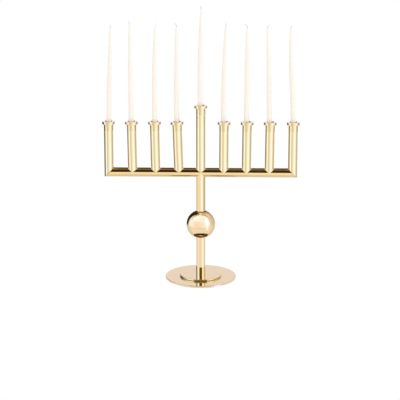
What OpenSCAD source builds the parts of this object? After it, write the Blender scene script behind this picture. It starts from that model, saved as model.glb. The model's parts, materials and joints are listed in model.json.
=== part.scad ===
// Nine-light menorah in polished brass tube, with nine dipped tapers.
// Millimetres, +Z up. The origin is the centre of the underside of the felt pad.
// The row of candles runs along X. Candle 1 is at -X and candle 5, the shamash, is in the middle.

/* [Base] */
// Diameter of the base disc
base_d = 116.5; // [112:0.5:124]
// Thickness of the base disc
base_t = 3; // [3:0.5:4]
// Diameter of the raised step plate
step_d = 69; // [60:1:80]
// Thickness of the raised step plate
step_t = 3; // [2.5:0.5:4]
// Rounding of the edges of both plates
plate_round = 0.7; // [0.4:0.1:1.2]
// Thickness of the felt pad
felt_t = 1; // [0.8:0.1:1.5]
// Width of brass left bare around the felt pad
felt_inset = 3; // [2:0.5:6]

/* [Stem and ball] */
// Outside diameter of the stem, the bar and the candle tubes
tube_d = 15; // [14:0.5:16]
// Wall of every tube
tube_wall = 1.2; // [1:0.1:1.5]
// Diameter of the ball
ball_d = 47; // [40:1:52]
// Height of the centre of the ball
ball_h = 92.5; // [85:0.5:100]

/* [Row of candles] */
// Distance between neighbouring candle tubes
pitch = 37.5; // [34:0.5:40]
// Height of the axis of the cross bar
bar_h = 180.5; // [170:0.5:190]
// Height of the lip of the eight lower candles
lip_h = 265.6; // [250:0.2:280]
// How far the shamash stands above the others
shamash_rise = 27; // [20:1:40]

/* [Candle cups] */
// Diameter of the flanged lip
lip_d = 20.8; // [19.5:0.1:22]
// Height of the band around the lip
lip_t = 4.4; // [3.6:0.1:5]
// Rounding of the edges of the lip
lip_round = 0.5; // [0.3:0.1:1.8]
// Radius of the fillet under the lip
lip_fillet = 1.3; // [0.8:0.1:1.6]
// Bore that takes the foot of a candle
socket_d = 12; // [11.8:0.1:12.4]
// Depth of the bore
socket_depth = 12; // [10:0.5:14]
// Solid brass below the bore
socket_floor = 3; // [2:0.5:4]

/* [Candles] */
// Diameter of a taper at its foot
taper_d = 8; // [7.4:0.1:8.2]
// Diameter of a taper at its shoulder
shoulder_d = 5.4; // [4.8:0.1:6]
// Diameter of a taper at its tip
tip_d = 2.2; // [2:0.1:2.8]
// Length of a taper without its wick
taper_l = 165; // [150:1:170]
// Diameter of the wick
wick_d = 1.3; // [1:0.1:1.5]
// Straight length of wick above the wax
wick_l = 3; // [2:0.5:5]
// Radius of the curl at the end of the wick
wick_curl = 1.6; // [1.2:0.1:2]

/* [Fixings] */
// Thread diameter of the tie bolt
bolt_d = 6; // [5:0.5:6]
// Length of the threaded bung in the upper stem
bung_l = 16; // [14:1:24]
// Depth of the seats for the stem in the ball
ball_seat = 5; // [4:0.5:7]

/* [Hidden] */
$fn = 96;
lights = 9;
shamash = 5;
// Film of solder between coped tubes
solder = 0.03;
tube_r = tube_d / 2;
bore_r = tube_r - tube_wall;
base_top = felt_t + base_t;
step_top = base_top + step_t;
stem_seat = step_top - 1;
// Where the ball meets the surface of the stem
ball_shoulder = sqrt(pow(ball_d / 2, 2) - pow(tube_r, 2));
seat_low = ball_h - ball_shoulder + ball_seat;
seat_high = ball_h + ball_shoulder - ball_seat;
bolt_top = seat_high + bung_l - 2;
head_d = 2 * bolt_d;
head_t = bolt_d / 2;
hex_af = 4;
hex_depth = 2;
cup_body = socket_depth + socket_floor;
spigot_l = 6;
spigot_gap = 0.05;
vent_d = 3;
// Where each candle tube meets the bar beside its even place, and its lean (+ is towards +X)
tube_shift = [0, 1.2, 1.5, 1.8, 0, 0, -0.5, -0.6, 0];
tube_lean = [0, -0.9, -1.1, -2, 0, 0.2, 0.5, 0.5, 0];
// Lean of each candle in degrees (+ is towards +X), and its tilt along Y
lean = [1.6, -0.4, 0.5, -0.2, 0.5, 0.9, 0.1, -1.6, -2];
nod = [0.3, -0.4, 0.2, 0.5, -0.2, -0.3, 0.4, 0.1, -0.5];
// Sideways place of the foot of each candle in its bore
shift = [0.2, -0.6, 0.4, -0.2, -0.9, -0.5, -1.1, -1.2, 0];
// Length of each taper beside the nominal length
extra = [0, 5, 0, 2, 3, 2, 1, 0, -1];
// Heading of the curl at the end of each wick
curl_heading = [200, 185, 150, 30, 60, 10, 175, -5, 20];
TUBES = [for (n = [1 : lights]) str("candle_tube_", n)];
CUPS = [for (n = [1 : lights]) str("candle_cup_", n)];
TAPERS = [for (n = [1 : lights]) str("taper_", n)];
WICKS = [for (n = [1 : lights]) str("wick_", n)];
STAND = ["felt_pad", "base_disc", "step_plate", "lower_stem", "ball", "upper_stem", "stem_bung",
    "tie_bolt", "cross_bar"];

function lamp_x(n) = (n - shamash) * pitch + tube_shift[n - 1];
function lip_top(n) = lip_h + (n == shamash ? shamash_rise : 0);
function is_end(n) = n == 1 || n == lights;

// Half section of a round plate with rounded edges
module plate_section(d, t, r) {
    square([d / 2 - r, t]);
    translate([0, r]) square([d / 2, t - 2 * r]);
    translate([d / 2 - r, r]) circle(r);
    translate([d / 2 - r, t - r]) circle(r);
}

// Length of brass tube standing on z = 0
module tube(length) {
    difference() {
        cylinder(r = tube_r, h = length);
        translate([0, 0, -1]) cylinder(r = bore_r, h = length + 2);
    }
}

// The round bar with its film of solder, which copes the tubes that meet it
module cope_cutter() {
    translate([0, 0, bar_h]) rotate([0, 90, 0]) cylinder(r = tube_r + solder, h = 4 * tube_d, center = true);
}

// Everything above and outside the mitre plane of an end corner, which slopes at 45 degrees
module outside_mitre(n) {
    big = 4 * pitch;
    translate([lamp_x(n), 0, bar_h])
        mirror([n == 1 ? 1 : 0, 0, 0])
            rotate([0, -45, 0])
                translate([0, -big / 2, -big / 2]) cube(big);
}

// Places something drawn upright on a candle tube's own axis, where z = 0 is the height given
module on_tube(n, height) {
    translate([lamp_x(n), 0, bar_h])
        rotate([0, tube_lean[n - 1], 0])
            translate([0, 0, height - bar_h]) children();
}

module felt_pad() {
    color("#2c2a28") cylinder(d = base_d - 2 * felt_inset, h = felt_t);
}

module base_disc() {
    color("#c9a45a")
        difference() {
            translate([0, 0, felt_t]) rotate_extrude() plate_section(base_d, base_t, plate_round);
            translate([0, 0, felt_t]) cylinder(d1 = head_d, d2 = bolt_d, h = head_t);
            translate([0, 0, felt_t]) cylinder(d = bolt_d, h = base_t + 1);
        }
}

module step_plate() {
    color("#c9a45a")
        difference() {
            translate([0, 0, base_top]) rotate_extrude() plate_section(step_d, step_t, plate_round);
            translate([0, 0, base_top - 1]) cylinder(d = bolt_d + 0.6, h = step_t + 2);
            translate([0, 0, stem_seat]) cylinder(d = tube_d, h = step_t);
        }
}

module lower_stem() {
    color("#c9a45a") translate([0, 0, stem_seat]) tube(seat_low - stem_seat);
}

module ball() {
    color("#d2ad62")
        difference() {
            translate([0, 0, ball_h]) sphere(d = ball_d);
            translate([0, 0, ball_h]) cylinder(d = bolt_d + 1, h = ball_d, center = true);
            translate([0, 0, ball_h - ball_d]) cylinder(d = tube_d, h = seat_low - ball_h + ball_d);
            translate([0, 0, seat_high]) cylinder(d = tube_d, h = ball_d);
        }
}

module upper_stem() {
    color("#c9a45a")
        difference() {
            translate([0, 0, seat_high]) tube(bar_h - seat_high);
            cope_cutter();
        }
}

module stem_bung() {
    color("#b08d4a")
        difference() {
            translate([0, 0, seat_high]) cylinder(r = bore_r, h = bung_l);
            translate([0, 0, seat_high - 1]) cylinder(d = bolt_d, h = bung_l + 2);
        }
}

module tie_bolt() {
    color("#8c8f93")
        difference() {
            translate([0, 0, felt_t]) {
                cylinder(d1 = head_d, d2 = bolt_d, h = head_t);
                cylinder(d = bolt_d, h = bolt_top - felt_t);
            }
            translate([0, 0, felt_t - 1]) cylinder(d = hex_af / cos(30), h = hex_depth + 1, $fn = 6);
        }
}

module cross_bar() {
    left = lamp_x(1) - tube_d;
    right = lamp_x(lights) + tube_d;
    color("#b8934c")
        difference() {
            translate([left, 0, bar_h]) rotate([0, 90, 0]) tube(right - left);
            outside_mitre(1);
            outside_mitre(lights);
            for (n = [2 : lights - 1])
                translate([lamp_x(n), 0, bar_h]) cylinder(d = vent_d, h = tube_d);
            translate([0, 0, bar_h - tube_d]) cylinder(d = vent_d, h = tube_d);
        }
}

module candle_tube(n) {
    top = lip_top(n) - cup_body;
    color("#c9a45a")
        if (is_end(n)) {
            intersection() {
                translate([lamp_x(n), 0, bar_h - 2 * tube_d]) tube(top - bar_h + 2 * tube_d);
                outside_mitre(n);
            }
        } else {
            difference() {
                on_tube(n, bar_h) tube(top - bar_h);
                translate([lamp_x(n), 0, 0]) cope_cutter();
            }
        }
}

module cup_section() {
    neck_z = -lip_t - lip_fillet;
    difference() {
        union() {
            translate([0, -lip_t]) plate_section(lip_d, lip_t, lip_round);
            translate([0, neck_z]) square([tube_r + lip_fillet, lip_fillet]);
            translate([0, -cup_body]) square([tube_r, cup_body - lip_t]);
            translate([0, -cup_body - spigot_l]) square([bore_r - spigot_gap, spigot_l]);
        }
        translate([tube_r + lip_fillet, neck_z]) circle(lip_fillet);
        translate([0, -socket_depth]) square([socket_d / 2, socket_depth + 1]);
    }
}

module candle_cup(n) {
    color("#d8b56c") on_tube(n, lip_top(n)) rotate_extrude() cup_section();
}

// Places a candle that was drawn upright with its foot on z = 0
module in_cup(n) {
    on_tube(n, lip_top(n) - socket_depth)
        translate([shift[n - 1], 0, 0])
            rotate([nod[n - 1], lean[n - 1] - tube_lean[n - 1], 0]) children();
}

module taper_section(length) {
    polygon([
        [0, -1],
        [taper_d / 2, -1],
        [taper_d / 2, 0.45 * length],
        [shoulder_d / 2, 0.8 * length],
        [tip_d / 2, length],
        [0, length]
    ]);
}

module taper(n) {
    length = taper_l + extra[n - 1];
    below = 10;
    color("#f4ead6")
        difference() {
            in_cup(n) rotate_extrude() taper_section(length);
            in_cup(n) translate([0, 0, length - 20]) cylinder(d = wick_d, h = 30);
            on_tube(n, lip_top(n) - socket_depth - below) cylinder(d = socket_d, h = below);
        }
}

module wick(n) {
    length = taper_l + extra[n - 1];
    color("#cfcac2")
        in_cup(n) {
            translate([0, 0, length - 20]) cylinder(d = wick_d, h = 20 + wick_l);
            translate([0, 0, length + wick_l])
                rotate([90, 0, curl_heading[n - 1]])
                    translate([-wick_curl, 0, 0])
                        rotate_extrude(angle = 120) translate([wick_curl, 0]) circle(d = wick_d);
        }
}

felt_pad();
base_disc();
step_plate();
lower_stem();
ball();
upper_stem();
stem_bung();
tie_bolt();
cross_bar();
for (n = [1 : lights]) {
    candle_tube(n);
    candle_cup(n);
    taper(n);
    wick(n);
}
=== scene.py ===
"""A nine-light menorah in polished brass tube, with dipped tapers in its cups, on a white studio sweep."""

import json
import logging
import math
from dataclasses import dataclass, field
from enum import Enum
from random import Random
from typing import Callable, Iterable

import bpy
from mathutils import Matrix, Vector

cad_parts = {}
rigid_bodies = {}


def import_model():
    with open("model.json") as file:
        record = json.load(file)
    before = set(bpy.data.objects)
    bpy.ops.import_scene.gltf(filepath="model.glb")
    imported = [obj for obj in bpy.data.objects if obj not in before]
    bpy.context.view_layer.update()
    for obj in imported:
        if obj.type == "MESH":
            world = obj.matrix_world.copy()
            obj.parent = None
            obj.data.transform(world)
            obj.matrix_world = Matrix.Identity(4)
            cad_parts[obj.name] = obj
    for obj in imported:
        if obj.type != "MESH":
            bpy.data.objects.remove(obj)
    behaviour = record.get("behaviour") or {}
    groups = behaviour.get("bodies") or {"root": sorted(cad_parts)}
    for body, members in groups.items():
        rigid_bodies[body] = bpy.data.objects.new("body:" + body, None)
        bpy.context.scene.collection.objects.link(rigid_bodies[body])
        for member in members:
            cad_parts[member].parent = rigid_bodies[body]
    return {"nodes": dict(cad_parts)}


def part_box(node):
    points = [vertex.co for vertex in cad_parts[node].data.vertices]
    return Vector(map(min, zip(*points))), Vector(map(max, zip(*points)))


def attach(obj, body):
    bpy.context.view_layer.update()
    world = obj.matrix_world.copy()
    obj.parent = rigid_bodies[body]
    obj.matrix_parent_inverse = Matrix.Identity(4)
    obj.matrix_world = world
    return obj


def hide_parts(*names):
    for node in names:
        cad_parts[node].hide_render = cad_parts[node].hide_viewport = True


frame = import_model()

Point = tuple[float, float, float]
Tone = tuple[float, float, float]
ShapeAt = Callable[[float], float]

log = logging.getLogger("menorah")
MM = 0.001
LIGHTS = 9
MIDDLE = 5
STAND = "stand"
# point attribute that darkens the brass: dark joints, and painted shade on the ring at the foot of the
# upper stem tube
DARK_JOINT_AND_SHADE = "dull"


class Slot(Enum):
    """The material slots that the record names."""

    BRASS = "polished_brass"
    RAW_BRASS = "raw_brass"
    STEEL = "steel"
    WAX = "wax"
    WICK = "wick_cotton"
    FELT = "felt"


# ---------------------------------------------------------------- shader wiring


class Wiring:
    """Adds nodes to one shader tree and joins them."""

    def __init__(self, tree: bpy.types.ShaderNodeTree) -> None:
        """Starts with an empty tree.

        Args:
            tree: The node tree of a material or of the world.
        """
        self.tree = tree
        tree.nodes.clear()

    def node(self, kind: str, inputs: dict[str, object] | None = None,
             **settings: object) -> bpy.types.Node:
        """Adds one node.

        Args:
            kind: The node's type, without its ShaderNode prefix.
            inputs: Socket name to a value or to the socket that feeds it.
            **settings: Properties of the node itself.

        Returns:
            The new node.
        """
        made = self.tree.nodes.new("ShaderNode" + kind)
        for name, value in settings.items():
            setattr(made, name, value)
        for name, value in (inputs or {}).items():
            self.feed(made.inputs[name], value)
        return made

    def feed(self, socket: bpy.types.NodeSocket, value: object) -> None:
        """Sets a socket's value, or links it where the value is another node's output.

        Args:
            socket: The input socket.
            value: The value, or the socket that feeds it.
        """
        if isinstance(value, bpy.types.NodeSocket):
            self.tree.links.new(value, socket)
        else:
            socket.default_value = value

    def maths(self, operation: str, *values: object) -> bpy.types.NodeSocket:
        """Adds a Math node.

        Args:
            operation: The node's operation, such as MULTIPLY.
            *values: Up to three numbers or sockets.

        Returns:
            The node's output.
        """
        made = self.tree.nodes.new("ShaderNodeMath")
        made.operation = operation
        for socket, value in zip(made.inputs, values):
            self.feed(socket, value)
        return made.outputs[0]

    def step(self, value: object, low: float, high: float) -> bpy.types.NodeSocket:
        """A smooth step.

        Args:
            value: The socket that is tested.
            low: Where the result leaves 0.
            high: Where the result reaches 1; it may be lower than low.

        Returns:
            A socket that runs smoothly from 0 to 1.
        """
        flip = high < low
        ends = (high, low) if flip else (low, high)
        made = self.node("MapRange", {"Value": value, "From Min": ends[0], "From Max": ends[1],
                                      "To Min": float(flip), "To Max": float(not flip)},
                         interpolation_type="SMOOTHSTEP")
        return made.outputs["Result"]

    def window(self, value: object, low: float, high: float, soft: float) -> bpy.types.NodeSocket:
        """A soft-edged window: 1 between low and high, 0 outside.

        Args:
            value: The socket that is tested.
            low: The lower edge.
            high: The upper edge.
            soft: How wide each edge is.

        Returns:
            A socket that runs smoothly from 0 to 1 and back.
        """
        rise = self.step(value, low - soft / 2, low + soft / 2)
        fall = self.step(value, high + soft / 2, high - soft / 2)
        return self.maths("MULTIPLY", rise, fall)

    def blend(self, share: object, first: object, second: object, how: str = "MIX") -> bpy.types.NodeSocket:
        """Mixes two colours.

        Args:
            share: How much of the second, as a number or a socket.
            first: The colour at share 0.
            second: The colour at share 1.
            how: The blend mode.

        Returns:
            The mixed colour.
        """
        made = self.tree.nodes.new("ShaderNodeMix")
        made.data_type = "RGBA"
        made.blend_type = how
        sockets = {"Factor": made.inputs[0], "A": made.inputs[6], "B": made.inputs[7]}
        for socket, value in zip(sockets.values(), (share, first, second)):
            plain = isinstance(value, tuple) and len(value) == 3
            self.feed(socket, (*value, 1.0) if plain else value)
        return made.outputs[2]

    def ramp(self, place: object, stops: Iterable[tuple[float, Tone]]) -> bpy.types.NodeSocket:
        """A colour ramp.

        Args:
            place: The socket that says where along the ramp.
            stops: Places from 0 to 1, each with its colour.

        Returns:
            The ramp's colour.
        """
        made = self.node("ValToRGB", {"Fac": place})
        ramp = made.color_ramp
        ramp.interpolation = "LINEAR"
        rows = sorted(stops)
        while len(ramp.elements) < len(rows):
            ramp.elements.new(0.5)
        for element, (at, tone) in zip(ramp.elements, rows):
            element.position = at
        for element, (at, tone) in zip(ramp.elements, rows):
            element.color = (*tone, 1.0)
        return made.outputs["Color"]


# ---------------------------------------------------------------- finishes


@dataclass(frozen=True)
class PolishedBrass:
    """Lacquered brass, polished to a mirror, with the faint marks of buffing and of hands."""

    name: str = "polished_brass"
    tone: Tone = (0.93, 0.76, 0.46)
    worn_tone: Tone = (0.92, 0.745, 0.445)
    # dark tone of joints, also used as painted shade on the ring at the foot of the upper stem tube
    dark_joint_and_shade_tone: Tone = (0.14, 0.085, 0.035)
    dull_gloss: float = 0.35
    gloss: float = 0.035
    smudge_gloss: float = 0.10
    smudge_size: float = 0.018
    hairline_size: float = 0.0012
    wave_size: float = 0.02
    wave_height: float = 0.00001

    def make(self) -> bpy.types.Material:
        """Builds the material.

        Returns:
            The new material.
        """
        material = bpy.data.materials.new(self.name)
        material.use_nodes = True
        wire = Wiring(material.node_tree)
        place = wire.node("TexCoord").outputs["Object"]
        smudge = wire.node("TexNoise", {"Vector": place, "Scale": 1 / self.smudge_size, "Detail": 4.0,
                                        "Roughness": 0.6}).outputs["Fac"]
        hairs = wire.node("Mapping", {"Vector": place, "Scale": (1.0, 1.0, 0.06)}).outputs["Vector"]
        hairline = wire.node("TexNoise", {"Vector": hairs, "Scale": 1 / self.hairline_size,
                                          "Detail": 2.0}).outputs["Fac"]
        rolling = {"Vector": place, "Scale": 1 / self.wave_size, "Detail": 1.0}
        wave = wire.node("TexNoise", rolling).outputs["Fac"]
        worn = wire.step(smudge, 0.45, 0.75)
        # the attribute darkens the brass: dark joints and seams, and painted shade on the ring at the foot
        # of the upper stem tube
        dull = wire.node("Attribute", attribute_name=DARK_JOINT_AND_SHADE).outputs["Fac"]
        colour = wire.blend(worn, self.tone, self.worn_tone)
        colour = wire.blend(dull, colour, self.dark_joint_and_shade_tone)
        rough = wire.maths("MULTIPLY_ADD", worn, self.smudge_gloss - self.gloss, self.gloss)
        rough = wire.maths("MULTIPLY_ADD", dull, self.dull_gloss, rough)
        rough = wire.maths("MULTIPLY_ADD", wire.step(hairline, 0.55, 0.8), 0.03, rough)
        relief = wire.node("Bump", {"Height": wave, "Strength": 0.3, "Distance": self.wave_height * 10})
        fine = wire.node("Bump", {"Height": hairline, "Strength": 0.02, "Distance": 0.0001,
                                  "Normal": relief.outputs["Normal"]})
        shader = wire.node("BsdfPrincipled", {"Base Color": colour, "Metallic": 1.0, "Roughness": rough,
                                              "Normal": fine.outputs["Normal"]})
        wire.node("OutputMaterial", {"Surface": shader.outputs["BSDF"]})
        return material


@dataclass(frozen=True)
class DippedWax:
    """Ivory candle wax, built up by dipping: soft, a little translucent, with a satin skin."""

    name: str = "dipped_wax"
    tone: Tone = (0.995, 0.945, 0.84)
    warm_tone: Tone = (0.99, 0.93, 0.81)
    gloss: float = 0.38
    depth: float = 0.0015

    def make(self) -> bpy.types.Material:
        """Builds the material.

        Returns:
            The new material.
        """
        material = bpy.data.materials.new(self.name)
        material.use_nodes = True
        wire = Wiring(material.node_tree)
        place = wire.node("TexCoord").outputs["Object"]
        runs = wire.node("Mapping", {"Vector": place, "Scale": (1.0, 1.0, 0.15)}).outputs["Vector"]
        cloud = wire.node("TexNoise", {"Vector": runs, "Scale": 260.0, "Detail": 3.0}).outputs["Fac"]
        fine = wire.node("TexNoise", {"Vector": place, "Scale": 1400.0, "Detail": 2.0}).outputs["Fac"]
        colour = wire.blend(wire.step(cloud, 0.3, 0.8), self.tone, self.warm_tone)
        rough = wire.maths("MULTIPLY_ADD", cloud, 0.12, self.gloss)
        ripple = wire.node("Bump", {"Height": cloud, "Strength": 0.15, "Distance": 0.0002})
        skin = wire.node("Bump", {"Height": fine, "Strength": 0.1, "Distance": 0.0001,
                                  "Normal": ripple.outputs["Normal"]})
        shader = wire.node("BsdfPrincipled", {"Base Color": colour, "Roughness": rough,
                                              "Subsurface Weight": 0.08, "Subsurface Scale": self.depth,
                                              "Subsurface Radius": (1.0, 0.9, 0.8),
                                              "Normal": skin.outputs["Normal"]})
        wire.node("OutputMaterial", {"Surface": shader.outputs["BSDF"]})
        return material


@dataclass(frozen=True)
class FibreFinish:
    """Matt fibres: the cotton of a wick, or pressed wool felt."""

    name: str
    tone: Tone
    dark_tone: Tone
    fibre_size: float
    relief: float
    sheen: float = 0.3

    def make(self) -> bpy.types.Material:
        """Builds the material.

        Returns:
            The new material.
        """
        material = bpy.data.materials.new(self.name)
        material.use_nodes = True
        wire = Wiring(material.node_tree)
        place = wire.node("TexCoord").outputs["Object"]
        fibre = wire.node("TexNoise", {"Vector": place, "Scale": 1 / self.fibre_size, "Detail": 5.0,
                                       "Roughness": 0.7, "Distortion": 1.5}).outputs["Fac"]
        colour = wire.blend(wire.step(fibre, 0.35, 0.7), self.dark_tone, self.tone)
        fuzz = wire.node("Bump", {"Height": fibre, "Strength": 0.6, "Distance": self.relief})
        shader = wire.node("BsdfPrincipled", {"Base Color": colour, "Roughness": 0.9,
                                              "Sheen Weight": self.sheen, "Sheen Roughness": 0.5,
                                              "Normal": fuzz.outputs["Normal"]})
        wire.node("OutputMaterial", {"Surface": shader.outputs["BSDF"]})
        return material


@dataclass(frozen=True)
class TurnedMetal:
    """Bare metal as it comes off the lathe, with fine rings and no polish."""

    name: str
    tone: Tone
    gloss: float = 0.3

    def make(self) -> bpy.types.Material:
        """Builds the material.

        Returns:
            The new material.
        """
        material = bpy.data.materials.new(self.name)
        material.use_nodes = True
        wire = Wiring(material.node_tree)
        place = wire.node("TexCoord").outputs["Object"]
        rings = wire.node("TexWave", {"Vector": place, "Scale": 900.0, "Distortion": 0.4, "Detail": 2.0},
                          bands_direction="Z").outputs["Fac"]
        dull = wire.node("TexNoise", {"Vector": place, "Scale": 240.0, "Detail": 4.0}).outputs["Fac"]
        dark = tuple(0.8 * part for part in self.tone)
        colour = wire.blend(wire.step(dull, 0.3, 0.8), self.tone, dark)
        rough = wire.maths("MULTIPLY_ADD", dull, 0.2, self.gloss)
        relief = wire.node("Bump", {"Height": rings, "Strength": 0.2, "Distance": 0.0001})
        shader = wire.node("BsdfPrincipled", {"Base Color": colour, "Metallic": 1.0, "Roughness": rough,
                                              "Normal": relief.outputs["Normal"]})
        wire.node("OutputMaterial", {"Surface": shader.outputs["BSDF"]})
        return material


@dataclass
class Finishes:
    """Every finish of the menorah, made once."""

    made: dict[Slot, bpy.types.Material] = field(default_factory=dict)

    def __post_init__(self) -> None:
        """Makes one material for each slot."""
        cotton = FibreFinish("wick_cotton", (0.82, 0.80, 0.78), (0.58, 0.55, 0.52), 0.0004, 0.0002)
        felt = FibreFinish("pressed_felt", (0.05, 0.045, 0.042), (0.012, 0.011, 0.01), 0.0012, 0.0006, 0.6)
        self.made = {
            Slot.BRASS: PolishedBrass().make(),
            Slot.RAW_BRASS: TurnedMetal("turned_brass", (0.72, 0.56, 0.30)).make(),
            Slot.STEEL: TurnedMetal("zinc_steel", (0.62, 0.63, 0.65)).make(),
            Slot.WAX: DippedWax().make(),
            Slot.WICK: cotton.make(),
            Slot.FELT: felt.make(),
        }

    def dress(self, piece: bpy.types.Object, slot: Slot) -> None:
        """Gives a new piece its finish.

        Args:
            piece: The piece.
            slot: Which finish it takes.
        """
        piece.data.materials.clear()
        piece.data.materials.append(self.made[slot])

    def dress_node(self, name: str, slot: Slot) -> None:
        """Gives a CAD node that stays its finish.

        Args:
            name: The node's name.
            slot: Which finish it takes.
        """
        node = frame["nodes"][name]
        for place in node.material_slots:
            place.material = self.made[slot]
        log.info("%s keeps its own shape, in %s", name, slot.value)


# ---------------------------------------------------------------- meshes


@dataclass
class Skin:
    """Points with their exact normals, and the faces between them."""

    points: list[Point] = field(default_factory=list)
    normals: list[Point] = field(default_factory=list)
    faces: list[tuple[int, ...]] = field(default_factory=list)
    dull: list[float] = field(default_factory=list)

    def add_grid(self, rows: list[list[tuple[Point, Point]]], close_rows: bool = True,
                 close_ends: bool = False) -> None:
        """Adds a sheet of four-sided faces.

        Args:
            rows: Rows of points, each point with its normal, all rows equally long.
            close_rows: Whether each row is a ring.
            close_ends: Whether the last row joins the first.
        """
        first = len(self.points)
        count = len(rows[0])
        for row in rows:
            for point, normal in row:
                self.points.append(point)
                self.normals.append(normal)
        tall = len(rows) if close_ends else len(rows) - 1
        wide = count if close_rows else count - 1
        for i in range(tall):
            low = first + i * count
            high = first + (i + 1) % len(rows) * count
            for j in range(wide):
                k = (j + 1) % count
                self.faces.append((low + j, low + k, high + k, high + j))

    def add_cap(self, ring: list[Point], centre: Point, normal: Point, flip: bool = False) -> None:
        """Closes a ring with a fan of triangles.

        Args:
            ring: The ring's points.
            centre: The middle of the fan.
            normal: The normal of the cap.
            flip: Whether the fan winds the other way.
        """
        first = len(self.points)
        self.points += [centre, *ring]
        self.normals += [normal] * (len(ring) + 1)
        for j in range(len(ring)):
            a, b = first + 1 + j, first + 1 + (j + 1) % len(ring)
            self.faces.append((first, b, a) if flip else (first, a, b))

    def place(self, frame_of: Matrix) -> "Skin":
        """Moves the skin, which was drawn in a frame of its own.

        Args:
            frame_of: Where that frame lies.

        Returns:
            The skin itself.
        """
        turn = frame_of.to_3x3()
        self.points = [tuple(frame_of @ Vector(point)) for point in self.points]
        self.normals = [tuple(turn @ Vector(normal)) for normal in self.normals]
        return self

    def piece(self, name: str) -> bpy.types.Object:
        """Makes the object.

        Args:
            name: The piece's name.

        Returns:
            A smooth-shaded object whose mesh keeps the exact normals.
        """
        mesh = bpy.data.meshes.new(name)
        mesh.from_pydata(self.points, [], self.faces)
        mesh.polygons.foreach_set("use_smooth", [True] * len(mesh.polygons))
        mesh.update()
        mesh.normals_split_custom_set_from_vertices(self.normals)
        if self.dull:
            shade = mesh.attributes.new(DARK_JOINT_AND_SHADE, "FLOAT", "POINT")
            shade.data.foreach_set("value", self.dull)
        made = bpy.data.objects.new(name, mesh)
        bpy.context.scene.collection.objects.link(made)
        return made


@dataclass
class Outline:
    """A turned outline: places (radius, height), each with the direction that its surface faces."""

    steps: list[tuple[float, float, float, float]] = field(default_factory=list)
    dull: list[float] = field(default_factory=list)
    dullness: float = 0.0

    def darken_joint_and_shade(self, dullness: float) -> "Outline":
        """Sets how far the places added from here on are darkened, from 0 to 1: dark joints, and painted
        shade on the ring at the foot of the upper stem tube.
        """
        self.dullness = dullness
        return self

    def add(self, radius: float, height: float, out: float, up: float) -> None:
        """Adds one place with its normal."""
        self.steps.append((radius, height, out, up))
        self.dull.append(self.dullness)

    def flat(self, radius: float, height: float, facing: float) -> "Outline":
        """Adds a place on a straight stretch.

        Args:
            radius: Distance from the axis.
            height: Height.
            facing: Direction of the normal in degrees, 0 outwards and 90 up.

        Returns:
            The outline itself.
        """
        turn = math.radians(facing)
        self.add(radius, height, math.cos(turn), math.sin(turn))
        return self

    def arc(self, radius: float, height: float, size: float, start: float, end: float,
            pieces: int = 8, hollow: bool = False) -> "Outline":
        """Adds a round stretch.

        Args:
            radius: Distance of the arc's centre from the axis.
            height: Height of the arc's centre.
            size: Radius of the arc.
            start: First angle in degrees, 0 outwards and 90 up.
            end: Last angle.
            pieces: How many straight pieces stand for the arc.
            hollow: Whether the surface faces the arc's centre, as in a fillet.

        Returns:
            The outline itself.
        """
        sign = -1.0 if hollow else 1.0
        for i in range(pieces + 1):
            turn = math.radians(start + (end - start) * i / pieces)
            out, up = math.cos(turn), math.sin(turn)
            self.add(radius + size * out, height + size * up, sign * out, sign * up)
        return self

    def turn(self, name: str, frame_of: Matrix | None = None, segments: int = 96) -> bpy.types.Object:
        """Turns the outline about its axis.

        Args:
            name: The piece's name.
            frame_of: Where the axis stands, or None for the middle of the stand.
            segments: How many steps make the round.

        Returns:
            The piece, closed from its last place back to its first.
        """
        rows = []
        for radius, height, out, up in self.steps:
            row = []
            for j in range(segments):
                angle = 2 * math.pi * j / segments
                c, s = math.cos(angle), math.sin(angle)
                row.append(((radius * c, radius * s, height), (out * c, out * s, up)))
            rows.append(row)
        skin = Skin()
        skin.add_grid(rows, close_ends=True)
        skin.dull = [share for share in self.dull for _ in range(segments)]
        return skin.place(frame_of or Matrix()).piece(name)


def settle(piece: bpy.types.Object, body: str, finishes: Finishes, slot: Slot, *nodes: str) -> None:
    """Dresses a new piece, joins it to its body and hides the CAD nodes that it stands for.

    Args:
        piece: The new piece.
        body: The body that carries it.
        finishes: The finishes.
        slot: The finish that it takes.
        *nodes: The CAD nodes that it replaces.
    """
    finishes.dress(piece, slot)
    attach(piece, body)
    if nodes:
        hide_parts(*nodes)
    log.info("%s: %d faces, in %s", piece.name, len(piece.data.polygons), slot.value)


def middle_of(name: str) -> Vector:
    """The middle of a CAD node's box."""
    low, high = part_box(name)
    return (Vector(low) + Vector(high)) / 2


def spread(count: int) -> list[float]:
    """Numbers from 0 to 1 in equal steps."""
    return [i / count for i in range(count + 1)]


# ---------------------------------------------------------------- the stand


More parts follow.
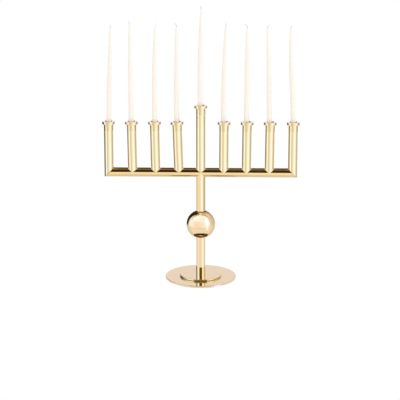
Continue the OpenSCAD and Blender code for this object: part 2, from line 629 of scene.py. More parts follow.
@dataclass
class Base:
    """The round base: disc, raised step plate and felt pad."""

    edge: float = 0.7 * MM
    step_under: float = 1.5 * MM
    bolt_hole: float = 3.3 * MM
    segments: int = 192

    def plate(self, node: str, seat: float, seat_depth: float, under: float) -> bpy.types.Object:
        """Turns one plate with softened edges.

        Args:
            node: The CAD node that gives the size.
            seat: Radius of the sinking around the middle hole, in the face that has one.
            seat_depth: Its depth, below the top face, or above the bottom face where negative.
            under: Radius of the rounding below the rim.

        Returns:
            The plate.
        """
        low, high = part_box(node)
        rim, bottom, top = high[0], low[2], high[2]
        shape = Outline()
        if seat_depth < 0:
            shape.flat(self.bolt_hole, bottom - seat_depth, 180).flat(seat, bottom, 225)
        else:
            shape.flat(self.bolt_hole, bottom, 225)
        shape.flat(rim - 2 * under, bottom, 270)
        shape.arc(rim - under, bottom + under, under, -90, 0)
        shape.arc(rim - self.edge, top - self.edge, self.edge, 0, 90)
        shape.flat(rim - 2 * self.edge, top, 90)
        if seat_depth > 0:
            shape.flat(seat, top, 90).flat(seat, top - seat_depth, 180)
            shape.flat(self.bolt_hole, top - seat_depth, 90)
        else:
            shape.flat(self.bolt_hole, top, 90)
        return shape.turn(node + "_plate", segments=self.segments)

    def build(self, finishes: Finishes) -> None:
        """Builds the base.

        Args:
            finishes: The finishes.
        """
        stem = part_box("lower_stem")
        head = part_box("tie_bolt")
        step_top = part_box("step_plate")[1][2]
        disc = self.plate("base_disc", head[1][0], -(head[1][0] - self.bolt_hole), self.edge)
        settle(disc, STAND, finishes, Slot.BRASS, "base_disc")
        step = self.plate("step_plate", stem[1][0], step_top - stem[0][2], self.step_under)
        settle(step, STAND, finishes, Slot.BRASS, "step_plate")
        finishes.dress_node("felt_pad", Slot.FELT)
        finishes.dress_node("tie_bolt", Slot.STEEL)


@dataclass
class Tube:
    """A length of round tube along an axis, whose two ends may be cut to any shape."""

    radius: float
    wall: float
    centre: Vector
    along: Vector
    side: Vector
    segments: int = 96
    rows: int = 24

    def build(self, name: str, start: ShapeAt, end: ShapeAt) -> bpy.types.Object:
        """Builds the tube.

        Args:
            name: The piece's name.
            start: Where the tube starts along its axis, at each angle in radians.
            end: Where it ends.

        Returns:
            The tube, with its wall.
        """
        cross = self.along.cross(self.side)
        skin = Skin()
        angles = [2 * math.pi * j / self.segments for j in range(self.segments)]

        def at(radius: float, angle: float, reach: float) -> Point:
            """One point of the tube."""
            out = self.side * math.cos(angle) + cross * math.sin(angle)
            return tuple(self.centre + out * radius + self.along * reach)

        def facing(angle: float, sign: float) -> Point:
            """The normal of the outer or inner wall."""
            return tuple((self.side * math.cos(angle) + cross * math.sin(angle)) * sign)

        for radius, sign in ((self.radius, 1.0), (self.radius - self.wall, -1.0)):
            shares = spread(self.rows) if sign > 0 else spread(self.rows)[::-1]
            rows = []
            for share in shares:
                row = []
                for angle in angles:
                    reach = start(angle) + (end(angle) - start(angle)) * share
                    row.append((at(radius, angle, reach), facing(angle, sign)))
                rows.append(row)
            skin.add_grid(rows)
        for reach, sign in ((start, -1.0), (end, 1.0)):
            way = tuple(self.along * sign)
            radii = (self.radius, self.radius - self.wall)
            radii = radii if sign > 0 else radii[::-1]
            rows = [[(at(radius, angle, reach(angle)), way) for angle in angles] for radius in radii]
            skin.add_grid(rows)
        return skin.piece(name)


UP = Vector((0.0, 0.0, 1.0))
RIGHT = Vector((1.0, 0.0, 0.0))


@dataclass
class Stem:
    """The stem: two tubes with the ball between them."""

    wall: float = 1.2 * MM
    ball_rows: int = 96
    # seam is the radius of the dark ring of painted shade at the foot of the upper tube
    seam: float = 0.95 * MM

    def ball(self) -> bpy.types.Object:
        """Turns the ball with the seats for the two tubes.

        Returns:
            The ball.
        """
        low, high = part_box("ball")
        centre = middle_of("ball")[2]
        size = (high[0] - low[0]) / 2
        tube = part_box("lower_stem")[1][0]
        shoulder = math.degrees(math.acos(tube / size))
        shape = Outline().arc(0.0, centre, size, -shoulder, shoulder, self.ball_rows)
        shape.flat(tube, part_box("upper_stem")[0][2], 180)
        shape.flat(tube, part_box("lower_stem")[1][2], 180)
        return shape.turn("turned_ball", segments=160)

    def painted_shade_ring(self, radius: float, height: float) -> bpy.types.Object:
        """Turns a dark ring of painted shade where the upper tube stands on the ball: it stands for the
        shadow and the dark reflection of the ball at the tube's foot.

        Args:
            radius: Radius of the tube.
            height: Height of the ring.

        Returns:
            The seam.
        """
        return Outline().darken_joint_and_shade(1.0).arc(radius, height, self.seam, 0, 360, 12).turn("stem_seam")

    def build(self, finishes: Finishes) -> None:
        """Builds the stem.

        Args:
            finishes: The finishes.
        """
        low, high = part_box("lower_stem")
        radius = high[0]
        foot = Tube(radius, self.wall, Vector((0, 0, 0)), UP, RIGHT)
        lower = foot.build("stem_tube_lower", lambda a: low[2], lambda a: high[2])
        settle(lower, STAND, finishes, Slot.BRASS, "lower_stem")
        settle(self.ball(), STAND, finishes, Slot.BRASS, "ball")
        axis = middle_of("cross_bar")[2]
        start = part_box("upper_stem")[0][2]
        upper = foot.build("stem_tube_upper", lambda a: start, lambda a: axis - radius * abs(math.cos(a)))
        settle(upper, STAND, finishes, Slot.BRASS, "upper_stem")
        ball_low, ball_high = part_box("ball")
        size, middle = ball_high[0], (ball_low[2] + ball_high[2]) / 2
        shoulder = middle + math.sqrt(size * size - radius * radius)
        # a dark ring of painted shade, standing for the shadow and dark reflection where the upper tube
        # meets the ball
        settle(self.painted_shade_ring(radius, shoulder), STAND, finishes, Slot.BRASS)
        finishes.dress_node("stem_bung", Slot.RAW_BRASS)


@dataclass
class CrossBar:
    """The horizontal bar, mitred at both ends."""

    wall: float = 1.2 * MM

    def build(self, finishes: Finishes) -> None:
        """Builds the bar.

        Args:
            finishes: The finishes.
        """
        low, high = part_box("cross_bar")
        radius = (high[2] - low[2]) / 2
        corner = high[0] - radius
        axis = middle_of("cross_bar")
        tube = Tube(radius, self.wall, Vector((0, 0, axis[2])), RIGHT, UP, rows=96)
        bar = tube.build("bar_tube", lambda a: -corner + radius * math.cos(a),
                         lambda a: corner - radius * math.cos(a))
        settle(bar, STAND, finishes, Slot.BRASS, "cross_bar")


class BarJoint(Enum):
    """How a candle tube meets the bar."""

    COPED = "coped"
    MITRED = "mitred"


@dataclass
class Holder:
    """One candle holder: its tube, its turned cup and the line of solder around its joint."""

    number: int
    wall: float = 1.2 * MM
    lip_edge: float = 0.25 * MM
    lip_height: float = 4.4 * MM
    fillet: float = 0.8 * MM
    bore: float = 6.0 * MM
    bore_depth: float = 12.0 * MM
    floor: float = 3.0 * MM
    spigot: float = 6.0 * MM
    bore_dullness: float = 0.0
    mouth: float = 0.35 * MM
    solder: float = 0.6 * MM
    tight_rise: float = 0.2
    full_rise: float = 0.32
    seam: float = 0.34 * MM
    sunk: float = 0.15 * MM

    def __post_init__(self) -> None:
        """Finds the holder's axis, which may lean along X, from the CAD boxes."""
        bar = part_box("cross_bar")
        self.bar_height = (bar[0][2] + bar[1][2]) / 2
        self.radius = (bar[1][2] - bar[0][2]) / 2
        self.joint = BarJoint.MITRED if self.number in (1, LIGHTS) else BarJoint.COPED
        low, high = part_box(f"candle_cup_{self.number}")
        self.lip = (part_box("candle_cup_5")[1][0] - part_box("candle_cup_5")[0][0]) / 2
        tube_low, tube_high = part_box(f"candle_tube_{self.number}")
        lip_x, lip_z = (low[0] + high[0]) / 2, high[2] - self.lip_height / 2
        tube_x, tube_z = (tube_low[0] + tube_high[0]) / 2, (bar[1][2] + tube_high[2]) / 2
        upright = self.joint is BarJoint.MITRED or abs(lip_x - tube_x) < 0.05 * MM
        self.lean = 0.0 if upright else math.atan2(lip_x - tube_x, lip_z - tube_z)
        self.foot_x = lip_x - math.tan(self.lean) * (lip_z - self.bar_height)
        self.reach = (high[2] - self.bar_height - self.lip * abs(math.sin(self.lean))) / math.cos(self.lean)
        self.rise = self.full_rise if self.number <= MIDDLE else self.tight_rise
        self.along = Vector((math.sin(self.lean), 0.0, math.cos(self.lean)))
        self.side = Vector((math.cos(self.lean), 0.0, -math.sin(self.lean)))

    def cup(self) -> bpy.types.Object:
        """Turns the cup: lip, fillet, body, spigot and bore.

        Returns:
            The cup.
        """
        top, tube, lip = self.reach, self.radius, self.lip
        joint = top - self.bore_depth - self.floor
        neck = top - self.lip_height
        bottom = joint - self.spigot
        shape = Outline().darken_joint_and_shade(1.0)
        shape.flat(0.2 * MM, bottom, 270).flat(tube - self.wall, bottom, 315)
        shape.flat(tube - self.wall, joint, 0).darken_joint_and_shade(0.0).flat(tube, joint, 0)
        shape.flat(tube, neck - self.fillet, 0)
        shape.arc(tube + self.fillet, neck - self.fillet, self.fillet, 180, 90, hollow=True)
        shape.arc(lip - self.lip_edge, neck + self.lip_edge, self.lip_edge, -90, 0)
        shape.arc(lip - self.lip_edge, top - self.lip_edge, self.lip_edge, 0, 90)
        shape.arc(self.bore + self.mouth, top - self.mouth, self.mouth, 90, 150).darken_joint_and_shade(self.bore_dullness)
        shape.flat(self.bore, top - 1.2 * self.mouth, 180).flat(self.bore, top - self.bore_depth, 180)
        shape.flat(self.bore, top - self.bore_depth, 90)
        shape.flat(0.2 * MM, top - self.bore_depth, 90)
        stand = Matrix.Translation((self.foot_x, 0.0, self.bar_height)) @ Matrix.Rotation(self.lean, 4, "Y")
        return shape.turn(f"turned_cup_{self.number}", frame_of=stand)

    def meet(self, radius: float, angle: float, lift: float = 0.0) -> float:
        """How far up its axis a wall of the tube meets the bar.

        Args:
            radius: Radius of the wall.
            angle: Angle around the tube.
            lift: Share of the radius by which the two low points are rounded up.

        Returns:
            The distance from the bar's axis.
        """
        rise = math.sqrt(math.cos(angle) ** 2 + lift ** 2)
        return radius * (rise + math.sin(self.lean) * math.cos(angle)) / math.cos(self.lean)

    def tube(self) -> bpy.types.Object:
        """Builds the tube, coped or mitred to meet the bar.

        Returns:
            The tube.
        """
        top = self.reach - self.bore_depth - self.floor
        foot = Vector((self.foot_x, 0.0, self.bar_height))
        tube = Tube(self.radius, self.wall, foot, self.along, self.side, rows=48)
        name = f"holder_tube_{self.number}"
        if self.joint is BarJoint.COPED:
            return tube.build(name, lambda a: self.meet(self.radius, a, self.rise), lambda a: top)
        inwards = 1.0 if self.number == 1 else -1.0
        return tube.build(name, lambda angle: inwards * self.radius * math.cos(angle), lambda angle: top)

    def solder_line(self) -> bpy.types.Object:
        """Sweeps the fine bead of solder around the joint.

        Returns:
            The bead.
        """
        coped = self.joint is BarJoint.COPED
        inwards = 1.0 if self.number == 1 else -1.0
        cross = self.along.cross(self.side)
        foot = Vector((self.foot_x, 0.0, self.bar_height))
        steps, around = 144, 10
        line, dull = [], []
        for i in range(steps):
            angle = 2 * math.pi * i / steps
            out = self.side * math.cos(angle) + cross * math.sin(angle)
            mitred = inwards * self.radius * math.cos(angle)
            rise = self.meet(self.radius, angle, self.rise) if coped else mitred
            line.append(foot + out * (self.radius - self.sunk) + self.along * rise)
            dull += [0.0 if coped else min(1.0, max(0.0, 0.9 + inwards * math.cos(angle)))] * around
        rows = []
        for i, place in enumerate(line):
            way = (line[(i + 1) % steps] - line[i - 1]).normalized()
            first = way.cross(place - foot).normalized()
            second = way.cross(first)
            ring = []
            for j in range(around):
                turn = 2 * math.pi * j / around
                out = first * math.cos(turn) + second * math.sin(turn)
                ring.append((tuple(place + out * (self.solder if coped else self.seam)), tuple(out)))
            rows.append(ring)
        skin = Skin()
        skin.add_grid(rows, close_ends=True)
        skin.dull = dull
        return skin.piece(f"{'solder_line' if coped else 'mitre_seam'}_{self.number}")

    def build(self, finishes: Finishes) -> None:
        """Builds the holder.

        Args:
            finishes: The finishes.
        """
        settle(self.tube(), STAND, finishes, Slot.BRASS, f"candle_tube_{self.number}")
        settle(self.cup(), STAND, finishes, Slot.BRASS, f"candle_cup_{self.number}")
        settle(self.solder_line(), STAND, finishes, Slot.BRASS)


# ---------------------------------------------------------------- the candles


@dataclass(frozen=True)
class Hang:
    """How one candle differs from a straight one."""

    bow: float = 0.0
    swing: float = 0.0
    wick_heading: float = 0.0
    wick_turn: float = 120.0
    wick_length: float = 6.0
    waxed: bool = False


HANGS = (
    Hang(0.35, 0.0, 10, 28, 4.9), Hang(0.15, 0.0, 170, 48, 6.2), Hang(-1.15, 0.0, -5, 15, 8.8, True),
    Hang(-0.5, -0.2, 185, 38, 6.2), Hang(-0.8, -0.1, 190, 26, 5.2), Hang(-1.15, -0.1, -5, 28, 6.2),
    Hang(0.25, 0.0, 180, 84, 7.8), Hang(1.0, 0.0, 5, 78, 6.6), Hang(-0.5, 0.7, 10, 28, 5.6),
)


@dataclass
class Candle:
    """One dipped taper with its wick."""

    number: int
    rings: int = 120
    segments: int = 40
    foot_radius: float = 4.0 * MM
    wick_radius: float = 0.6 * MM
    uneven: float = 0.025 * MM

    def __post_init__(self) -> None:
        """Finds the candle's line in the frame."""
        node = frame["nodes"][f"taper_{self.number}"]
        heights = sorted(vertex.co.z for vertex in node.data.vertices)
        self.foot = self.centre_near(node, heights[0])
        self.tip = self.centre_near(node, heights[-1])
        self.hang = HANGS[self.number - 1]
        self.chance = Random(700 + self.number)
        self.phases = [self.chance.uniform(0, 2 * math.pi) for _ in range(6)]

    @staticmethod
    def centre_near(node: bpy.types.Object, height: float) -> Vector:
        """The middle of a node's points near a height.

        Args:
            node: The CAD node.
            height: The height.

        Returns:
            The middle of the points within a millimetre.
        """
        near = [vertex.co for vertex in node.data.vertices if abs(vertex.co.z - height) < 1.0 * MM]
        low = Vector((min(p.x for p in near), min(p.y for p in near), height))
        high = Vector((max(p.x for p in near), max(p.y for p in near), height))
        return (low + high) / 2

    def line(self, share: float) -> Vector:
        """A place on the candle's middle line.

        Args:
            share: How far up the taper, from 0 to 1.

        Returns:
            The place.
        """
        turn = math.pi * share
        bow = MM * (self.hang.bow * math.sin(turn) + self.hang.swing * math.sin(2 * turn))
        sway = 0.12 * MM * math.sin(5.5 * share + self.phases[0])
        return self.foot.lerp(self.tip, share) + RIGHT * (bow + sway * share)

    def girth(self, share: float, angle: float) -> float:
        """The radius of the wax.

        Args:
            share: How far up the taper.
            angle: The angle around it.

        Returns:
            The radius.
        """
        body = self.foot_radius * (1 - 0.06 * share)
        shrink = max(0.0, share - 0.42) / 0.58
        radius = body * (1 - 0.60 * shrink ** 1.5)
        point = max(0.0, share - 0.975) / 0.025
        radius *= math.sqrt(max(0.0, 1 - 0.8 * point * point))
        wobble = math.sin(9 * share + self.phases[1]) + 0.6 * math.sin(23 * share + self.phases[2])
        lump = math.sin(angle + self.phases[3] + 4 * share)
        lump += 0.5 * math.sin(2 * angle + self.phases[4] - 7 * share)
        return radius + self.uneven * (0.7 * wobble + 0.5 * lump) * (1 - 0.6 * share)

    def wax(self) -> bpy.types.Object:
        """Sweeps the wax.

        Returns:
            The taper.
        """
        lean = (self.tip - self.foot).normalized()
        side = (RIGHT - lean * RIGHT.dot(lean)).normalized()
        cross = lean.cross(side)
        rings = []
        for share in spread(self.rings):
            ring = []
            for j in range(self.segments):
                angle = 2 * math.pi * j / self.segments
                out = side * math.cos(angle) + cross * math.sin(angle)
                place = self.line(share) + out * self.girth(share, angle)
                ring.append(Vector((place.x, place.y, max(place.z, self.foot.z))))
            rings.append(ring)
        rows = []
        for i, ring in enumerate(rings):
            row = []
            for j, place in enumerate(ring):
                before, after = rings[max(i - 1, 0)][j], rings[min(i + 1, self.rings)][j]
                around = ring[(j + 1) % self.segments] - ring[j - 1]
                normal = around.cross(after - before).normalized()
                row.append((tuple(place), tuple(normal)))
            rows.append(row)
        skin = Skin()
        skin.add_grid(rows)
        skin.add_cap([tuple(p) for p in rings[0]], tuple(self.foot), (0, 0, -1), flip=True)
        skin.add_cap([tuple(p) for p in rings[-1]], tuple(self.tip), tuple(lean))
        return skin.piece(f"dipped_taper_{self.number}")

    def wick(self) -> bpy.types.Object:
        """Sweeps the twisted wick along its curl.

        Returns:
            The wick.
        """
        lean = (self.tip - self.foot).normalized()
        heading = math.radians(self.hang.wick_heading)
        towards = Vector((math.cos(heading), math.sin(heading), 0.0))
        steps, strands, segments = 44, 3, 18
        length = self.hang.wick_length * MM
        place, way = self.tip - lean * 2.0 * MM, lean.copy()
        axis = way.cross(towards).normalized()
        rows = []
        for i in range(steps + 1):
            share = i / steps
            bend = math.radians(self.hang.wick_turn) * max(0.0, share - 0.35) / 0.65
            way = lean * math.cos(bend) + towards * math.sin(bend)
            place = place + way * ((length + 2.0 * MM) / steps)
            side, row = axis, []
            cross = way.cross(side).normalized()
            for j in range(segments):
                angle = 2 * math.pi * j / segments
                bulge = 1 + 0.16 * math.cos(strands * (angle + 9 * share))
                radius = self.wick_radius * bulge * (1 - 0.25 * share)
                out = side * math.cos(angle) + cross * math.sin(angle)
                row.append((tuple(place + out * radius), tuple(out)))
            rows.append(row)
        skin = Skin()
        skin.add_grid(rows)
        skin.add_cap([p for p, _ in rows[0]], tuple(self.tip - lean * 2.0 * MM), tuple(-lean), flip=True)
        skin.add_cap([p for p, _ in rows[-1]], tuple(place + way * 0.0003), tuple(way))
        return skin.piece(f"twisted_wick_{self.number}")

    def build(self, finishes: Finishes) -> None:
        """Builds the candle.

        Args:
            finishes: The finishes.
        """
        body = f"candle_{self.number}"
        settle(self.wax(), body, finishes, Slot.WAX, f"taper_{self.number}")
        cover = Slot.WAX if self.hang.waxed else Slot.WICK
        settle(self.wick(), body, finishes, cover, f"wick_{self.number}")


# ---------------------------------------------------------------- the studio


@dataclass(frozen=True)
class Band:
    """The colours all round the compass between two elevations."""

    low: float
    high: float
    soft: float
    stops: tuple[tuple[float, Tone], ...]


@dataclass(frozen=True)
class Card:
    """A soft-edged card in front of the bands: its bearing, half width, elevations and colour."""

    bearing: float
    half: float
    low: float
    high: float
    soft: float
    tone: Tone


@dataclass
class Tent:
    """A light tent far around the stand, which only some of its pieces mirror."""

    name: str
    ground: Tone
    bands: tuple[Band, ...]
    cards: tuple[Card, ...]
    across: int = 48
    tall: int = 24

    def shell(self, radius: float) -> bpy.types.Object:
        """Builds the round shell.

        Args:
            radius: Its radius, so large that every piece sees it from its middle.

        Returns:
            The shell.
        """
        skin = Skin()
        rows = []
        for i in range(self.tall + 1):
            lift = math.pi * (i / self.tall - 0.5) * 0.998
            row = []
            for j in range(self.across):
                turn = 2 * math.pi * j / self.across
                way = (math.cos(lift) * math.cos(turn), math.cos(lift) * math.sin(turn), math.sin(lift))
                row.append((tuple(radius * part for part in way), way))
            rows.append(row)
        skin.add_grid(rows)
        return skin.piece(self.name)

    def paint(self, wire: Wiring) -> bpy.types.NodeSocket:
        """Mixes the bands and the cards.

        Args:
            wire: The tree.

        Returns:
            The colour in every direction.
        """
        way = wire.node("VectorMath", operation="NORMALIZE")
        wire.feed(way.inputs[0], wire.node("TexCoord").outputs["Object"])
        parts = wire.node("SeparateXYZ", {"Vector": way.outputs["Vector"]}).outputs
        towards = wire.maths("ARCTAN2", parts["X"], wire.maths("MULTIPLY", parts["Y"], -1.0))
        bearing = wire.maths("MULTIPLY", towards, math.degrees(1))
        height = wire.maths("MULTIPLY", wire.maths("ARCSINE", parts["Z"]), math.degrees(1))
        turn = wire.maths("MULTIPLY_ADD", bearing, 1 / 360, 0.5)
        colour: object = (*self.ground, 1.0)
        for band in self.bands:
            around = wire.ramp(turn, [((at + 180) / 360, tone) for at, tone in band.stops])
            colour = wire.blend(wire.window(height, band.low, band.high, band.soft), colour, around)
        for card in self.cards:
            turned = wire.maths("FLOORED_MODULO", wire.maths("ADD", bearing, 540.0 - card.bearing), 360.0)
            off = wire.maths("ABSOLUTE", wire.maths("SUBTRACT", turned, 180.0))
            inside = wire.step(off, card.half + card.soft / 2, card.half - card.soft / 2)
            level = wire.window(height, card.low, card.high, card.soft)
            colour = wire.blend(wire.maths("MULTIPLY", inside, level), colour, card.tone)
        return colour

    def pitch(self, radius: float, pieces: Iterable[bpy.types.Object]) -> None:
        """Puts the tent up.

        Args:
            radius: Its radius; no two tents have the same.
            pieces: The pieces that mirror it.
        """
        shell = self.shell(radius)
        material = bpy.data.materials.new(self.name)
        material.use_nodes = True
        wire = Wiring(material.node_tree)
        glow = wire.node("Emission", {"Color": self.paint(wire), "Strength": 1.0})
        both = wire.node("AddShader")
        wire.feed(both.inputs[0], glow.outputs["Emission"])
        wire.feed(both.inputs[1], wire.node("BsdfTransparent").outputs["BSDF"])
        wire.node("OutputMaterial", {"Surface": both.outputs["Shader"]})
        material.cycles.emission_sampling = "NONE"
        shell.data.materials.append(material)
        for way in ("camera", "diffuse", "transmission", "volume_scatter", "shadow"):
            setattr(shell, "visible_" + way, False)
        mirrors = bpy.data.collections.new(self.name)
        for piece in pieces:
            mirrors.objects.link(piece)
        shell.light_linking.receiver_collection = mirrors


PEACH: Tone = (0.865, 0.82, 0.915)
PAPER: Tone = (1.08, 1.32, 2.20)
CREAM: Tone = (0.98, 1.06, 1.50)
GOLD: Tone = (0.62, 0.54, 0.44)
UMBER: Tone = (0.030, 0.016, 0.006)
SHADE: Tone = (0.14, 0.08, 0.012)
BLACK: Tone = (0.006, 0.004, 0.003)

TUBE_RING = (
    (-180, (0.60, 0.62, 0.75)), (-150, (0.26, 0.25, 0.23)), (-125, (0.12, 0.11, 0.09)),
    (-104, (0.16, 0.165, 0.17)), (-90, (0.42, 0.46, 0.52)), (-79, (0.86, 0.98, 1.12)),
    (-61, (1.20, 1.48, 1.88)), (-46, (0.92, 0.97, 1.02)), (-32, (0.76, 0.71, 0.70)),
    (-12, (0.865, 0.845, 0.86)), (6, (1.00, 1.06, 1.14)), (20, (1.08, 1.27, 1.52)),
    (48, (1.09, 1.30, 1.60)), (64, (1.02, 1.14, 1.30)), (84, (0.68, 0.68, 0.66)),
    (104, (0.56, 0.53, 0.46)), (125, (0.67, 0.70, 0.70)), (155, (0.85, 0.95, 1.20)),
    (180, (0.60, 0.62, 0.75)),
)
CUP_RING = (
    (-180, (0.60, 0.62, 0.70)), (-150, (0.16, 0.14, 0.12)), (-112, (0.08, 0.065, 0.05)),
    (-92, (0.12, 0.10, 0.08)), (-84, (0.45, 0.45, 0.44)), (-75, (1.12, 1.22, 1.30)),
    (-58, (1.16, 1.30, 1.42)),
    (-48, (0.92, 0.92, 0.87)), (-38, (0.70, 0.65, 0.57)), (-22, (0.73, 0.67, 0.60)),
    (-4, (0.89, 0.82, 0.72)), (18, (1.00, 1.02, 1.08)), (36, (1.09, 1.24, 1.46)),
    (58, (1.09, 1.26, 1.46)), (78, (0.90, 0.88, 0.88)), (104, (0.46, 0.39, 0.31)),
    (130, (0.44, 0.38, 0.30)), (155, (0.66, 0.66, 0.70)), (180, (0.60, 0.62, 0.70)),
)
UPPER_RING = (
    (-180, (0.70, 0.70, 0.80)), (-130, (0.66, 0.62, 0.58)), (-98, (0.78, 0.73, 0.66)),
    (-75, (0.97, 0.94, 0.93)), (-55, (0.98, 0.91, 0.88)), (-29, (0.98, 0.88, 0.79)),
    (-8, (1.02, 0.99, 0.96)), (14, (1.08, 1.21, 1.38)), (40, (1.08, 1.26, 1.56)),
    (62, (0.92, 0.95, 1.02)), (84, (0.60, 0.55, 0.50)), (112, (0.56, 0.51, 0.45)),
    (140, (0.68, 0.70, 0.76)), (180, (0.70, 0.70, 0.80)),
)
LOWER_RING = (
    (-180, (0.80, 0.85, 1.00)), (-130, (0.74, 0.76, 0.86)), (-95, (0.84, 0.85, 0.92)),
    (-70, (1.02, 0.97, 1.04)), (-50, (1.05, 0.96, 1.04)), (-17, (0.89, 0.80, 0.77)),
    (6, (0.93, 0.89, 0.90)), (30, (1.03, 1.07, 1.16)), (55, (1.07, 1.17, 1.36)),
    (84, (0.92, 0.94, 1.04)), (116, (0.74, 0.78, 0.94)), (180, (0.80, 0.85, 1.00)),
)
FOOT_RING = (
    (-180, PEACH), (-172, PEACH), (-164, BLACK), (-120, BLACK), (-112, (0.50, 0.58, 0.80)),
    (-80, (0.90, 1.12, 1.60)), (-54, (1.15, 1.58, 2.40)), (-39, (1.10, 1.40, 1.90)),
    (-34, SHADE), (34, SHADE), (39, (1.15, 1.35, 1.70)), (60, (1.28, 1.50, 1.85)),
    (85, (0.90, 0.95, 0.92)), (116, (0.64, 0.62, 0.58)), (160, (0.70, 0.66, 0.62)),
    (172, PEACH), (180, PEACH),
)


EDGE_RING = (
    (-180, PEACH), (-165, UMBER), (-112, UMBER), (-100, (1.05, 1.35, 1.90)), (-43, (1.10, 1.45, 2.10)),
    (-36, GOLD), (36, GOLD), (43, (1.15, 1.50, 2.20)), (70, (1.15, 1.50, 2.20)), (90, (0.85, 0.85, 0.75)),
    (150, GOLD), (180, PEACH),
)


@dataclass
class Studio:
    """White floor, even white light, the tents that the brass mirrors, and the camera."""

    azimuth: float = 1.4
    elevation: float = 15.5
    distance: float = 3.02
    lens: float = 165.6
    aim: Point = (-0.0013, 0.0, 0.1336)
    tent_radius: float = 100.0
    tent_gap: float = 2.0

    def camera(self) -> None:
        """Places the camera."""
        a, e = math.radians(self.azimuth), math.radians(self.elevation)
        back = Vector((math.sin(a) * math.cos(e), -math.cos(a) * math.cos(e), math.sin(e)))
        data = bpy.data.cameras.new("camera")
        data.lens = self.lens
        data.sensor_width = 36.0
        data.clip_end = 50.0
        made = bpy.data.objects.new("camera", data)
        made.location = Vector(self.aim) + back * self.distance
        made.rotation_mode = "QUATERNION"
        made.rotation_quaternion = (-back).to_track_quat("-Z", "Y")
        bpy.context.scene.collection.objects.link(made)
        bpy.context.scene.camera = made

    def floor(self) -> None:
        """Lays the white floor."""
        size = 6.0
        mesh = bpy.data.meshes.new("floor")
        corners = [(-size, -size, 0), (size, -size, 0), (size, size, 0), (-size, size, 0)]
        mesh.from_pydata(corners, [], [(0, 1, 2, 3)])
        made = bpy.data.objects.new("floor", mesh)
        bpy.context.scene.collection.objects.link(made)
        material = bpy.data.materials.new("white_sweep")
        material.use_nodes = True
        wire = Wiring(material.node_tree)
        glow = wire.node("Emission", {"Color": (1.0, 1.0, 1.0, 1.0), "Strength": 1.0})
        wire.node("OutputMaterial", {"Surface": glow.outputs["Emission"]})
        mesh.materials.append(material)
        made.visible_glossy = False
        made.visible_diffuse = False

    def surroundings(self) -> None:
        """Fills the room with soft white light from the right, and leaves the mirrors to the tents."""
        world = bpy.data.worlds.new("studio")
        bpy.context.scene.world = world
        world.use_nodes = True
        wire = Wiring(world.node_tree)
        parts = wire.node("SeparateXYZ", {"Vector": wire.node("TexCoord").outputs["Generated"]})
        side = wire.step(parts.outputs["X"], -0.8, 0.6)
        soft = wire.blend(side, (0.96, 0.88, 0.86), (1.08, 1.10, 1.13))
        path = wire.node("LightPath")
        seen = wire.blend(path.outputs["Is Camera Ray"], soft, (1.0, 1.0, 1.0))
        seen = wire.blend(path.outputs["Is Glossy Ray"], seen, BLACK)
        light = wire.node("Background", {"Color": seen, "Strength": 1.0})
        wire.node("OutputWorld", {"Surface": light.outputs["Background"]})

    def build(self) -> None:
        """Builds the camera, the floor and the soft light."""
        self.camera()
        self.floor()
        self.surroundings()
        bpy.context.scene.view_settings.view_transform = "Standard"

    def pitch_tents(self) -> None:
        """Puts up one tent for each group of pieces."""
        kinds = {"holder_tube": "row", "mitre_seam": "row", "dipped_taper": "row", "twisted_wick": "row",
                 "turned_cup": "cups", "solder_line": "beads", "stem_tube": "stem", "stem_seam": "stem",
                 "bar_tube": "bar", "turned_ball": "ball", "base_disc_plate": "base",
                 "step_plate_plate": "base"}
        for i, tent in enumerate(self.tents()):
            starts = tuple(start for start, group in kinds.items() if "tent_" + group == tent.name)
            pieces = [piece for piece in bpy.context.scene.objects if piece.name.startswith(starts)]
            tent.pitch(self.tent_radius + self.tent_gap * i, pieces)
            log.info("%s is mirrored by %d pieces", tent.name, len(pieces))

    def tents(self) -> tuple[Tent, ...]:
        """Describes the tents.

        Returns:
            The tents.
        """
        return (self.row_tent(), self.cup_tent(), self.bead_tent(), self.stem_tent(), self.bar_tent(),
                self.ball_tent(), self.base_tent())

    def row_tent(self) -> Tent:
        """The tent around the candle tubes.

        Returns:
            The tent.
        """
        above = (
            (-180, PAPER), (-150, (0.9, 1.0, 1.2)), (-125, (0.15, 0.13, 0.11)),
            (-95, (0.3, 0.25, 0.2)), (-70, (1.05, 1.2, 1.3)), (0, (1.05, 1.1, 1.1)),
            (60, (1.1, 1.3, 1.6)), (100, (0.5, 0.42, 0.3)), (150, (0.9, 1.0, 1.2)), (180, PAPER),
        )
        top = ((-180, (0.5, 0.42, 0.32)), (180, (0.5, 0.42, 0.32)))
        return Tent("tent_row", (0.80, 0.78, 0.76), (
            Band(-70, 6, 6, TUBE_RING), Band(6, 50, 6, above), Band(50, 91, 20, top),
        ), (Card(180, 40, 4, 24, 6, PAPER),))

    def cup_tent(self) -> Tent:
        """The tent around the cups, with more contrast.

        Returns:
            The tent.
        """
        top = ((-180, (0.80, 0.74, 0.66)), (180, (0.80, 0.74, 0.66)))
        return Tent("tent_cups", (0.62, 0.54, 0.44), (
            Band(-60, 40, 10, CUP_RING), Band(50, 91, 20, top),
        ), (Card(180, 50, 6, 26, 4, CREAM),))

    def bead_tent(self) -> Tent:
        """The even, bright tent around the beads of solder."""
        return Tent("tent_beads", (1.02, 1.12, 1.30), (), ())

    def stem_tent(self) -> Tent:
        """The tent around the stem, which differs above and below the ball.

        Returns:
            The tent.
        """
        return Tent("tent_stem", (0.92, 0.84, 0.78), (
            Band(-90, -16.0, 0.5, LOWER_RING), Band(-16.0, 91, 0.5, UPPER_RING), Band(8, 30, 4, FOOT_RING),
        ), (Card(0, 33, 14, 40, 4, SHADE),))

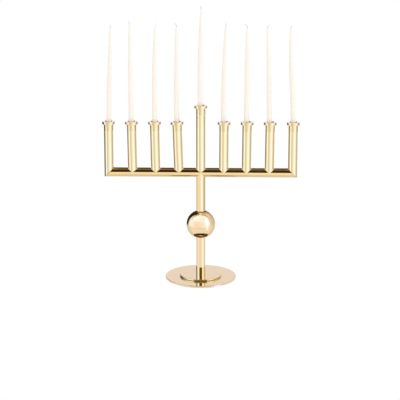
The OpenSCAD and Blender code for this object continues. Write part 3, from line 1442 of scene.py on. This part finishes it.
    def bar_tent(self) -> Tent:
        """The tent around the bar: light below, dark above.

        Returns:
            The tent.
        """
        front = ((-180, (0.70, 0.56, 0.36)), (-120, (0.70, 0.56, 0.36)), (-70, (1.02, 0.96, 0.84)),
                 (70, (1.02, 0.96, 0.84)), (120, (0.70, 0.56, 0.36)), (180, (0.70, 0.56, 0.36)))
        above = ((-180, (0.09, 0.055, 0.02)), (0, (0.035, 0.018, 0.005)), (180, (0.09, 0.055, 0.02)))
        return Tent("tent_bar", (0.90, 0.80, 0.64), (
            Band(-91, -58, 16, ((-180, (0.78, 0.73, 0.66)), (180, (0.78, 0.73, 0.66)))),
            Band(-35, 11.0, 14, front), Band(11.0, 91, 3.0, above),
            Band(76, 91, 10.0, ((-180, (0.27, 0.18, 0.10)), (180, (0.27, 0.18, 0.10)))),
        ), (Card(-4.5, 4.0, -84, -66, 5, (0.40, 0.28, 0.15)),))

    def ball_tent(self) -> Tent:
        """The tent around the ball: a dark wall behind on the left, a bright window on the right.

        Returns:
            The tent.
        """
        behind = ((-180, (0.18, 0.12, 0.05)), (-166, (0.04, 0.025, 0.01)), (-123, (0.012, 0.008, 0.004)))
        beyond = ((143, (0.70, 0.60, 0.54)), (161, (0.44, 0.33, 0.21)), (171, (0.20, 0.13, 0.05)),
                  (180, (0.18, 0.12, 0.05)))
        level = ((-110, (1.04, 1.10, 1.30)), (-84, (1.06, 1.14, 1.40)), (-65, (1.06, 1.10, 1.35)),
                 (-47, (1.00, 0.97, 1.10)), (-20, (0.99, 0.95, 1.03)), (15, (1.02, 1.02, 1.15)),
                 (37, (1.06, 1.14, 1.40)), (54, (1.08, 1.20, 1.60)), (72, (1.03, 1.06, 1.30)),
                 (93, (0.84, 0.78, 0.74)), (119, (0.76, 0.67, 0.62)))
        above = ((-110, (1.02, 1.10, 1.30)), (-102, (1.06, 1.18, 1.50)), (-80, (1.07, 1.30, 1.85)),
                 (-40, (1.07, 1.22, 1.66)), (0, (1.07, 1.12, 1.45)), (49, (1.06, 1.12, 1.50)),
                 (68, (1.08, 1.30, 2.00)), (88, (1.05, 1.20, 1.60)), (110, (0.88, 0.84, 0.85)),
                 (125, (0.86, 0.80, 0.78)))
        top = ((-180, (1.06, 1.15, 1.50)), (0, (1.07, 1.17, 1.54)), (96, (1.00, 1.02, 1.20)),
               (125, (0.88, 0.84, 0.82)), (150, (0.90, 0.90, 0.90)), (180, (1.06, 1.15, 1.50)))
        below = ((-180, (0.70, 0.60, 0.54)), (-120, (0.80, 0.72, 0.68)), (-88, (0.97, 0.90, 0.93)),
                 (88, (0.97, 0.90, 0.93)), (120, (0.82, 0.74, 0.68)), (180, (0.70, 0.60, 0.54)))
        return Tent("tent_ball", (0.97, 0.90, 0.93), (
            Band(-91, -14, 6, below), Band(-14, 100, 6, behind + level + beyond),
            Band(32, 100, 22, behind + above + beyond), Band(70, 91, 5, top),
        ), (
            Card(62, 14, 4, 44, 20, (1.12, 1.50, 2.50)),
            Card(56, 7, -34, 6, 12, (1.10, 1.36, 1.85)),
            Card(-8, 28, -19.4, -17.8, 0.6, (0.55, 0.42, 0.30)),
        ))

    def base_tent(self) -> Tent:
        """The tent around the disc and the step plate.

        Returns:
            The tent.
        """
        return Tent("tent_base", PEACH, (
            Band(8, 30, 4, FOOT_RING), Band(30, 48, 4, EDGE_RING),
            Band(48, 91, 4, ((-180, PEACH), (-150, UMBER), (150, UMBER), (180, PEACH))),
        ), (Card(0, 33, 14, 30, 4, SHADE), Card(58, 12, -24, -10, 6, PAPER)))


def main() -> None:
    """Builds the menorah and the studio."""
    logging.basicConfig(level=logging.INFO, format="%(name)s: %(message)s")
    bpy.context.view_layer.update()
    studio = Studio()
    studio.build()
    finishes = Finishes()
    Base().build(finishes)
    Stem().build(finishes)
    CrossBar().build(finishes)
    for number in range(1, LIGHTS + 1):
        Holder(number).build(finishes)
    for number in range(1, LIGHTS + 1):
        Candle(number).build(finishes)
    studio.pitch_tents()


if __name__ == "__main__":
    main()
